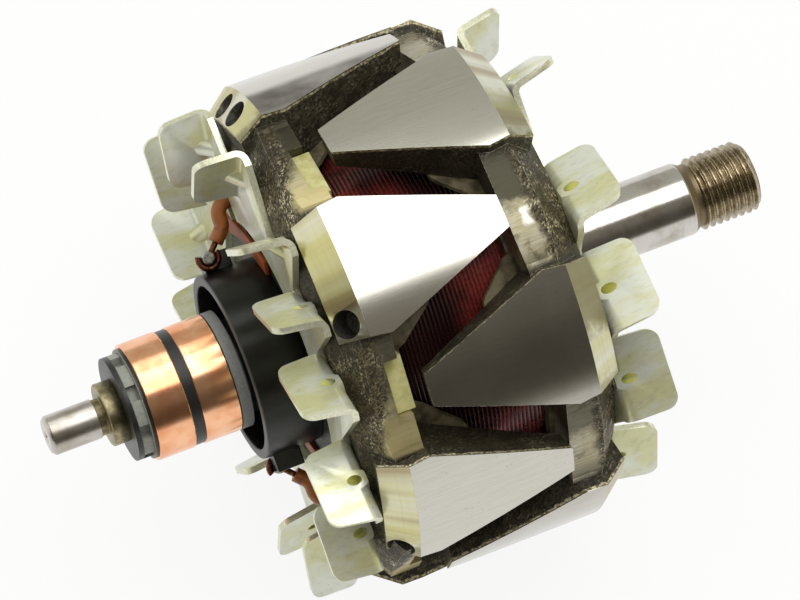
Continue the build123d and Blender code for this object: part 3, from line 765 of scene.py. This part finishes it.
def close_rows(bm, rows):
    """Joins closed rows of as many corners each into a tube, and closes its ends."""
    around = len(rows[0])
    for lower, upper in zip(rows, rows[1:]):
        for k in range(around):
            bm.faces.new((lower[k], lower[(k + 1) % around], upper[(k + 1) % around], upper[k]))
    bm.faces.new(rows[0])
    bm.faces.new(rows[-1])
    bmesh.ops.recalc_face_normals(bm, faces=bm.faces)


def rounded(along, radius, *steps):
    """Points of a profile near a corner, each a step along the shaft and a step out."""
    return [(along + forward, radius + out) for forward, out in steps]


def lathe_bmesh(profile, around):
    """A solid turned about the shaft from places along it, each with a radius or a function of the angle."""
    bm = bmesh.new()
    turns = [2 * math.pi * k / around for k in range(around)]
    rows = []
    for along, radius in profile:
        row = []
        for turn in turns:
            r = radius(turn) if callable(radius) else radius
            row.append(bm.verts.new((along * MM, r * MM * math.cos(turn), r * MM * math.sin(turn))))
        rows.append(row)
    close_rows(bm, rows)
    return bm


# Settings

class RotorSizes(bpy.types.PropertyGroup):
    """Sizes of the details that the scene adds to the rotor."""

    thread_pitch: bpy.props.FloatProperty(
        name="Thread pitch",
        description="Distance between neighbouring crests of the pulley thread",
        default=1.6 * MM, min=0.5 * MM, max=3 * MM, precision=5, unit="LENGTH",
    )
    thread_depth: bpy.props.FloatProperty(
        name="Thread depth",
        description="Depth of the pulley thread below its crests",
        default=0.82 * MM, min=0.1 * MM, max=2 * MM, precision=5, unit="LENGTH",
    )
    wire_diameter: bpy.props.FloatProperty(
        name="Wire diameter",
        description="Diameter of the enamelled wire of the field winding",
        default=0.85 * MM, min=0.3 * MM, max=2 * MM, precision=5, unit="LENGTH",
    )
    pole_bevel: bpy.props.FloatProperty(
        name="Pole edge",
        description="Width of the broken edges of the poles",
        default=0.32 * MM, min=0.0, max=1.5 * MM, precision=5, unit="LENGTH",
    )
    sheet_bevel: bpy.props.FloatProperty(
        name="Sheet edge",
        description="Width of the rolled edges of the fan sheet",
        default=0.16 * MM, min=0.0, max=0.5 * MM, precision=5, unit="LENGTH",
    )


class RotorColours(bpy.types.PropertyGroup):
    """Main colours of the finishes, which wear, dirt, painted light and painted shade then vary."""

    steel: bpy.props.FloatVectorProperty(
        name="Ground steel",
        description="Colour of the ground faces of the claws",
        default=rgb(203, 200, 190), size=4, min=0.0, max=1.0, subtype="COLOR",
    )
    zinc: bpy.props.FloatVectorProperty(
        name="Zinc",
        description="Colour of the fan sheet where its passivation is thin",
        default=rgb(227, 230, 217), size=4, min=0.0, max=1.0, subtype="COLOR",
    )
    passivation: bpy.props.FloatVectorProperty(
        name="Passivation",
        description="Colour of the fan sheet where its passivation is thick",
        default=rgb(215, 215, 170), size=4, min=0.0, max=1.0, subtype="COLOR",
    )
    copper: bpy.props.FloatVectorProperty(
        name="Copper",
        description="Colour of the slip rings",
        default=rgb(250, 194, 154), size=4, min=0.0, max=1.0, subtype="COLOR",
    )
    enamel: bpy.props.FloatVectorProperty(
        name="Enamel",
        description="Colour of the wire of the field winding",
        default=rgb(138, 50, 46), size=4, min=0.0, max=1.0, subtype="COLOR",
    )
    nylon: bpy.props.FloatVectorProperty(
        name="Nylon",
        description="Colour of the bobbin where it is clean",
        default=rgb(206, 202, 146), size=4, min=0.0, max=1.0, subtype="COLOR",
    )


# Operators

class ROTOR_OT_shaft(bpy.types.Operator):
    """Build the shaft with its ground journals and a cut thread"""

    bl_idname = "rotor.shaft"
    bl_label = "Shaft"

    def execute(self, context):
        sizes = context.scene.rotor
        profile = self.rear_profile() + self.drive_profile()
        profile += self.thread_profile(sizes.thread_pitch / MM, sizes.thread_depth / MM)
        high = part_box("shaft")[1]
        if high.x < profile[-1][0] * MM:
            raise RuntimeError("the packed shaft is too short for its thread")
        bm = lathe_bmesh(profile, 128)
        for face in bm.faces:
            if face.calc_center_median().x > (THREAD_START - 0.2) * MM:
                face.material_index = 1
        mesh = to_mesh(bm, "shaft_turned", 40.0)
        new_piece("shaft_turned", mesh, ["shaft"], [ground_steel(), thread_steel()])
        return {"FINISHED"}

    @staticmethod
    def rear_profile():
        """From the centre hole at the slip-ring end to the seat of the carrier."""
        return [
            (REAR_END + CENTRE_DEPTH, CENTRE_POINT),
            *rounded(REAR_END, CENTRE_RADIUS, (0.1, -0.05), (0.0, 0.1)),
            *rounded(REAR_END, REAR_JOURNAL_RADIUS, (0.0, -0.8), (0.05, -0.65), (0.65, -0.05), (0.8, 0.0)),
            *rounded(REAR_JOURNAL_END, REAR_JOURNAL_RADIUS, (-0.1, 0.0), (0.0, -0.1)),
            *rounded(REAR_JOURNAL_END, RELIEF_RADIUS, (0.0, 0.05), (0.1, 0.0)),
            *rounded(REAR_SHOULDER, RELIEF_RADIUS, (-0.1, 0.0), (0.0, 0.1)),
            *rounded(REAR_SHOULDER, SHOULDER_RADIUS, (0.0, -0.2), (0.2, 0.0)),
            *rounded(CARRIER_END, SHOULDER_RADIUS, (-0.15, 0.0), (0.0, -0.1)),
            (CARRIER_END, SEAT_RADIUS),
        ]

    @staticmethod
    def drive_profile():
        """From the seat of the carrier through the poles to the undercut behind the thread."""
        return [
            (-PACK_HALF_LENGTH, SEAT_RADIUS),
            (-PACK_HALF_LENGTH, CORE_RADIUS),
            (PACK_HALF_LENGTH, CORE_RADIUS),
            (PACK_HALF_LENGTH, DRIVE_JOURNAL_RADIUS),
            *rounded(DRIVE_JOURNAL_END, DRIVE_JOURNAL_RADIUS, (-20.0, 0.0), (-10.0, 0.0), (-0.4, 0.0)),
            *rounded(DRIVE_JOURNAL_END, DRIVE_JOURNAL_RADIUS, (-0.1, -0.05), (0.1, -0.15)),
            *rounded(UNDERCUT_START, UNDERCUT_RADIUS, (-0.1, 0.05), (0.1, 0.0)),
            (THREAD_START - 0.1, UNDERCUT_RADIUS),
        ]

    @staticmethod
    def thread_profile(pitch, depth):
        """The thread, which fades out at the drive end, and the centre hole there."""
        last = DRIVE_END - 0.05

        def cut(along):
            fade = min(1.0, max(0.0, (DRIVE_END - 0.2 - along) / THREAD_LEAD_LENGTH))
            lead = THREAD_RADIUS - (1.0 - fade) * THREAD_LEAD_DROP

            def radius(turn):
                phase = (along / pitch - turn / (2 * math.pi)) % 1.0
                wave = min(1.0, max(0.0, 1.35 * abs(2 * phase - 1.0) - 0.12))
                return min(lead, THREAD_RADIUS - depth * wave) if fade > 0 else lead

            return radius

        places = [THREAD_START + (last - THREAD_START) * k / THREAD_STEPS for k in range(THREAD_STEPS + 1)]
        return [(along, cut(along)) for along in places] + [
            (DRIVE_END, THREAD_RADIUS - 1.2),
            *rounded(DRIVE_END, CENTRE_RADIUS, (0.0, 0.1), (-0.08, -0.05)),
            (DRIVE_END - CENTRE_DEPTH, CENTRE_POINT),
        ]


class ROTOR_OT_poles(bpy.types.Operator):
    """Dress the two claw poles"""

    bl_idname = "rotor.poles"
    bl_label = "Poles"

    def execute(self, context):
        width = context.scene.rotor.pole_bevel / MM
        steel = tuple(context.scene.rotor_colours.steel)
        burr_and_painted_highlight = burr_with_painted_highlight()
        for node, pole in POLES.items():
            bm = node_bmesh(node)
            bevel_sharp(bm, width, 40.0, 1)
            materials = [claw_steel(node + "_steel", pole, steel), burr_and_painted_highlight]
            new_piece(node + "_skin", to_mesh(bm, node + "_skin"), [node], materials)
        return {"FINISHED"}


class ROTOR_OT_fans(bpy.types.Operator):
    """Dress the two sheet fans, with bright cut edges"""

    bl_idname = "rotor.fans"
    bl_label = "Fans"

    def execute(self, context):
        width = context.scene.rotor.sheet_bevel / MM
        colours = context.scene.rotor_colours
        pale, tinted = tuple(colours.zinc), tuple(colours.passivation)
        materials = [
            zinc_sheet("zinc_sheet", pale, tinted, rgb(162, 161, 120), 0.5),
            sheared_edge(),
            zinc_sheet("pressed_groove", rgb(232, 233, 148), rgb(216, 217, 98), rgb(186, 185, 96), 0.2),
        ]
        for node, (blades, lean) in FANS.items():
            bm = node_bmesh(node)
            self.mark_faces(bm, blades, lean)
            bevel_sharp(bm, width, 35.0)
            new_piece(node + "_skin", to_mesh(bm, node + "_skin"), [node], materials)
        return {"FINISHED"}

    @staticmethod
    def mark_faces(bm, blades, lean):
        """Gives the sheared edges and the grooves pressed into the bends their own materials."""
        for face in bm.faces:
            centre = face.calc_center_median()
            normal = face.normal
            if abs(centre.x) < FAN_PLATE_END * MM:
                if abs(normal.x) < 0.12:
                    face.material_index = 1
                continue
            turn = math.degrees(math.atan2(centre.z, centre.y)) % 360.0
            near = min(blades, key=lambda blade: abs((turn - blade - 6.0 + 180.0) % 360.0 - 180.0))
            heading = math.radians(near + lean)
            along = normal.y * math.cos(heading) + normal.z * math.sin(heading)
            across = normal.z * math.cos(heading) - normal.y * math.sin(heading)
            if abs(along) > 0.06 and abs(across) > 0.08:
                face.material_index = 2 if normal.x * centre.x < 0.0 else 0
            elif abs(along) > 0.75 or abs(normal.x) > 0.92:
                face.material_index = 1


class ROTOR_OT_winding(bpy.types.Operator):
    """Wind the field coil on its bobbin"""

    bl_idname = "rotor.winding"
    bl_label = "Winding"

    def execute(self, context):
        colours = context.scene.rotor_colours
        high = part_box("field_coil")[1]
        half = high.x / MM - 0.05
        outer = high.z / MM
        count = int(2 * half / (context.scene.rotor.wire_diameter / MM))
        if count < 4:
            raise RuntimeError("the bobbin is too narrow for the wire")
        steps = count * STEPS_PER_WIRE
        places = [-half + 2 * half * k / steps for k in range(steps + 1)]
        wound = [(along, self.wound(along, half, 2 * half / count, outer)) for along in places]
        profile = [(-half, COIL_INNER_RADIUS), *wound, (half, COIL_INNER_RADIUS)]
        mesh = to_mesh(lathe_bmesh(profile, 160), "field_winding", 60.0)
        wire = enamelled_wire(tuple(colours.enamel))
        new_piece("field_winding", mesh, ["field_coil"], [wire])
        dressed("coil_bobbin", [bobbin_nylon(tuple(colours.nylon))])
        return {"FINISHED"}

    @staticmethod
    def wound(along, half, pitch, outer):
        """The wound surface at one place along the shaft."""
        def radius(turn):
            phase = ((along + half) / pitch - turn / (2 * math.pi)) % 1.0
            round_wire = math.sqrt(max(0.0, 1.0 - (2 * phase - 1.0) ** 2))
            edge = max(0.0, (abs(along) - half + COIL_SHOULDER_LENGTH) / COIL_SHOULDER_LENGTH)
            swell = noise.noise(Vector((along * 0.2, 3 * math.cos(turn), 3 * math.sin(turn))))
            crown = outer - COIL_COVER - COIL_SHOULDER_DROP * edge * edge + COIL_SWELL * swell
            return crown - 0.5 * pitch * (1.0 - round_wire)
        return radius


class ROTOR_OT_slip_rings(bpy.types.Operator):
    """Dress the slip rings and their moulded carrier"""

    bl_idname = "rotor.slip_rings"
    bl_label = "Slip rings"

    def execute(self, context):
        copper = turned_copper(tuple(context.scene.rotor_colours.copper))
        worn = ((-60.05, -57.9, rgb(146, 148, 138)), (-39.9, -36.9, rgb(142, 143, 142)))
        carrier = moulding("carrier_moulding", rgb(28, 28, 28), rgb(54, 53, 51), 0.28, 0.46, 0.08, worn)
        for node in ("outboard_slip_ring", "inboard_slip_ring"):
            dressed(node, [copper])
        dressed("slip_ring_carrier", [carrier], 0.2)
        return {"FINISHED"}


class ROTOR_OT_terminals(bpy.types.Operator):
    """Dress the shield, its terminals and the ends of the winding"""

    bl_idname = "rotor.terminals"
    bl_label = "Shield and terminals"

    def execute(self, context):
        rim = ((-38.2, -37.45, rgb(70, 71, 71)),)
        shield = moulding("shield_moulding", rgb(7, 7, 7), rgb(20, 19, 19), 0.22, 0.42, 0.08, rim)
        dressed("slip_ring_shield", [shield], 0.3)
        copper = bare_copper()
        solder = dull_solder()
        sleeve = moulding("lead_sleeving", rgb(150, 88, 38), rgb(86, 52, 26), 0.24, 0.42, 0.1)
        tape = moulding("lead_tape", rgb(160, 78, 26), rgb(78, 38, 16), 0.45, 0.6, 0.1)
        for side in ("upper_", "lower_"):
            for piece, slot, material, width in (
                ("terminal_hook", "bare_copper", copper, 0.15),
                ("lead_end", "bare_copper", copper, 0.1),
                ("solder_joint", "solder", solder, 0.15),
                ("lead_sleeve", "lead_sleeving", sleeve, 0.2),
            ):
                dressed(side + piece, [material], width, 45.0)
        for name, turn in TAPE_TURNS.items():
            new_piece(name, self.tape(name, turn), [], [tape])
        return {"FINISHED"}

    @staticmethod
    def tape(name, turn):
        """A strip of insulating tape from the fan plate down to the foot of the shield."""
        def flat(radius, angle):
            heading = math.radians(angle + turn)
            return Vector((radius * math.cos(heading), radius * math.sin(heading)))

        bm = bmesh.new()
        rows = []
        places = [flat(radius, angle) for radius, angle, low in TAPE_ROUTE]
        for k, (radius, angle, low) in enumerate(TAPE_ROUTE):
            ahead = (places[min(len(places) - 1, k + 1)] - places[max(0, k - 1)]).normalized()
            side = Vector((-ahead.y, ahead.x)) * TAPE_HALF_WIDTH
            sag = 0.12 * math.sin(2.4 * k)
            ends = (
                (places[k] - side, low),
                (places[k] - side, low + TAPE_THICKNESS - 0.05 + sag),
                (places[k] + side, low + TAPE_THICKNESS + 0.05 - sag),
                (places[k] + side, low),
            )
            rows.append([bm.verts.new((-x * MM, p.x * MM, p.y * MM)) for p, x in ends])
        close_rows(bm, rows)
        bevel_sharp(bm, 0.25, 50.0)
        return to_mesh(bm, name)


class ROTOR_OT_stage(bpy.types.Operator):
    """Set the floor, the light and the camera"""

    bl_idname = "rotor.stage"
    bl_label = "Stage"

    def execute(self, context):
        scene = context.scene
        self.floor(scene)
        self.world(scene)
        self.lights(scene)
        self.camera(scene)
        scene.view_settings.view_transform = "Standard"
        scene.view_settings.look = "None"
        if scene.camera is None:
            raise RuntimeError("the camera wasn't set")
        return {"FINISHED"}

    @staticmethod
    def floor(scene):
        """A pale floor, white to the camera and in mirrors, that still takes a shadow."""
        mesh = bpy.data.meshes.new("floor")
        bm = bmesh.new()
        bmesh.ops.create_grid(bm, x_segments=8, y_segments=8, size=FLOOR_HALF_SIZE)
        bm.to_mesh(mesh)
        bm.free()
        floor = bpy.data.objects.new("floor", mesh)
        floor.location = (0.0, 0.0, CAD_BOX[0][2])
        scene.collection.objects.link(floor)
        material = bpy.data.materials.new("pale_floor")
        material.use_nodes = True
        tree = material.node_tree
        tree.nodes.clear()
        paths = add(tree, "ShaderNodeLightPath").outputs
        seen = calc(tree, "ADD", paths["Is Camera Ray"], paths["Is Glossy Ray"], clamp=True)
        seen = calc(tree, "ADD", seen, paths["Is Transmission Ray"], clamp=True)
        paper = add(tree, "ShaderNodeBsdfDiffuse", {0: (0.86, 0.86, 0.86, 1.0)}).outputs[0]
        glow = add(tree, "ShaderNodeEmission", {0: (1.0, 1.0, 1.0, 1.0), 1: 1.0}).outputs[0]
        mixed = add(tree, "ShaderNodeMixShader", {0: product(tree, seen, 0.9), 1: paper, 2: glow})
        add(tree, "ShaderNodeOutputMaterial", {0: mixed.outputs[0]})
        mesh.materials.append(material)

    @staticmethod
    def world(scene):
        """A pale room, dim and warm in front, with a window on the left and a warm glow on the right."""
        world = bpy.data.worlds.new("studio")
        scene.world = world
        world.use_nodes = True
        tree = world.node_tree
        tree.nodes.clear()
        direction = add(tree, "ShaderNodeTexCoord").outputs["Generated"]
        x, y, z = add(tree, "ShaderNodeSeparateXYZ", {0: direction}).outputs
        front = step(tree, y, -0.12, 0.14, 1.0, 0.0)
        level = calc(tree, "ADD", step(tree, z, 0.0, 0.14, 0.36, 0.1), step(tree, z, 0.4, 0.85, 0.0, 0.13))
        window = product(tree, step(tree, x, -0.5, -0.75), step(tree, y, -0.16, 0.16), 0.6)
        glow = product(tree, step(tree, x, 0.42, 0.7, 0.0, 0.45), front)
        near = blend(tree, level, (0.0, 0.0, 0.0, 1.0), (1.0, 0.92, 0.78, 1.0))
        tone = blend(tree, front, (0.53, 0.53, 0.475, 1.0), near)
        tone = blend(tree, window, tone, (1.0, 0.985, 0.96, 1.0), "ADD")
        tone = blend(tree, glow, tone, (1.0, 0.95, 0.66, 1.0), "ADD")
        background = add(tree, "ShaderNodeBackground", {0: tone, 1: 1.0})
        add(tree, "ShaderNodeOutputWorld", {0: background.outputs[0]})

    @staticmethod
    def lights(scene):
        """Area lights that face straight down."""
        for name, place, size, power, mirrored in LIGHTS:
            data = bpy.data.lights.new(name, "AREA")
            data.shape = "RECTANGLE"
            data.size, data.size_y = size
            data.energy = power
            light = bpy.data.objects.new(name, data)
            light.location = place
            light.visible_glossy = mirrored
            scene.collection.objects.link(light)

    @staticmethod
    def camera(scene):
        """A long lens at the photograph's angle."""
        data = bpy.data.cameras.new("photo_camera")
        data.sensor_fit = "HORIZONTAL"
        data.sensor_width = CAMERA_SENSOR
        data.lens = CAMERA_LENS
        data.clip_start = 0.05
        data.clip_end = 20.0
        camera = bpy.data.objects.new("photo_camera", data)
        right = CAMERA_RIGHT.normalized()
        back = (CAMERA_BACK - right * CAMERA_BACK.dot(right)).normalized()
        turn = Matrix((right, back.cross(right), back)).transposed().to_4x4()
        camera.matrix_world = Matrix.Translation(CAMERA_PLACE) @ turn
        scene.collection.objects.link(camera)
        scene.camera = camera


class ROTOR_PT_sidebar(bpy.types.Panel):
    """Settings and steps of the rotor"""

    bl_idname = "ROTOR_PT_sidebar"
    bl_label = "Alternator rotor"
    bl_space_type = "VIEW_3D"
    bl_region_type = "UI"
    bl_category = "Rotor"

    def draw(self, context):
        column = self.layout.column()
        scene = context.scene
        for settings, group in ((scene.rotor, RotorSizes), (scene.rotor_colours, RotorColours)):
            for name in group.__annotations__:
                column.prop(settings, name)
        for operator in OPERATORS:
            column.operator(operator.bl_idname)


OPERATORS = (
    ROTOR_OT_shaft, ROTOR_OT_poles, ROTOR_OT_fans, ROTOR_OT_winding,
    ROTOR_OT_slip_rings, ROTOR_OT_terminals, ROTOR_OT_stage,
)
CLASSES = (RotorSizes, RotorColours, *OPERATORS, ROTOR_PT_sidebar)


def register():
    for cls in CLASSES:
        bpy.utils.register_class(cls)
    bpy.types.Scene.rotor = bpy.props.PointerProperty(type=RotorSizes)
    bpy.types.Scene.rotor_colours = bpy.props.PointerProperty(type=RotorColours)


def unregister():
    del bpy.types.Scene.rotor_colours
    del bpy.types.Scene.rotor
    for cls in reversed(CLASSES):
        bpy.utils.unregister_class(cls)


def main():
    """Builds the whole scene."""
    register()
    bpy.ops.rotor.shaft()
    bpy.ops.rotor.poles()
    bpy.ops.rotor.fans()
    bpy.ops.rotor.winding()
    bpy.ops.rotor.slip_rings()
    bpy.ops.rotor.terminals()
    bpy.ops.rotor.stage()


if __name__ == "__main__":
    main()
